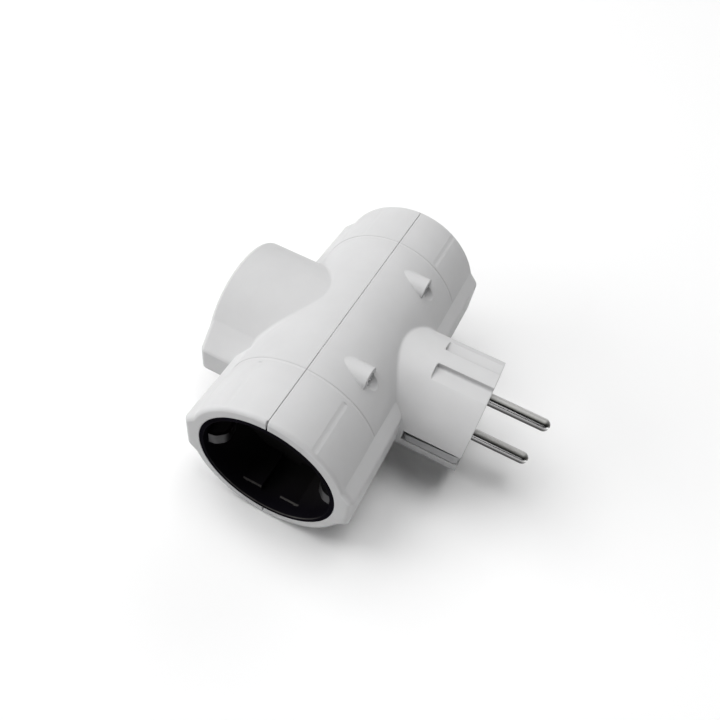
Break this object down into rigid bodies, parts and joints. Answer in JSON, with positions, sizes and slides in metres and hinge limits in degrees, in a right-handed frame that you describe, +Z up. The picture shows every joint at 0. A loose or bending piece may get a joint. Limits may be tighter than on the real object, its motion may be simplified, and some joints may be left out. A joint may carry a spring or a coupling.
{
  "type": "multi socket adapter",
  "caption": "White mains adapter barrel with a black-lined socket in each end, a third socket at the back and a plug nose with two round pins and side earth contacts",
  "frame": {"origin": "centre of the plug's end face, on the plug axis", "axes": "+X out of the plug face along the pins, +Y along the barrel towards the left-hand socket as seen looking along +X, +Z up"},
  "size_m": [0.1037, 0.1, 0.0496],
  "materials": {
    "white_plastic": "satin moulded",
    "black_plastic": "semi-gloss moulded",
    "carrier_plastic": "moulded",
    "brass_spring": "rolled strip",
    "brass_strip": "rolled strip",
    "rivet_steel": "plain",
    "nickel_plate": "nickel plated, turned",
    "plated_spring": "nickel-plated strip",
    "screw_steel": "zinc plated"
  },
  "bodies": {
    "root": {"housing_front": "white_plastic", "housing_rear": "white_plastic", "socket_insert_right": "black_plastic", "socket_insert_left": "black_plastic", "socket_insert_rear": "black_plastic", "live_contact_right": "brass_spring", "live_contact_left": "brass_spring", "live_contact_rear": "brass_spring", "neutral_contact_right": "brass_spring", "neutral_contact_left": "brass_spring", "neutral_contact_rear": "brass_spring", "live_busbar": "brass_strip", "neutral_busbar": "brass_strip", "live_rivets": "rivet_steel", "neutral_rivets": "rivet_steel", "plug_pin_live": "nickel_plate", "plug_pin_neutral": "nickel_plate", "pin_carrier": "carrier_plastic", "earth_spring_right": "plated_spring", "earth_spring_left": "plated_spring", "earth_spring_rear": "plated_spring", "plug_earth_bracket": "plated_spring", "earth_busbar": "brass_strip", "housing_screws": "screw_steel"}
  },
  "joints": []
}
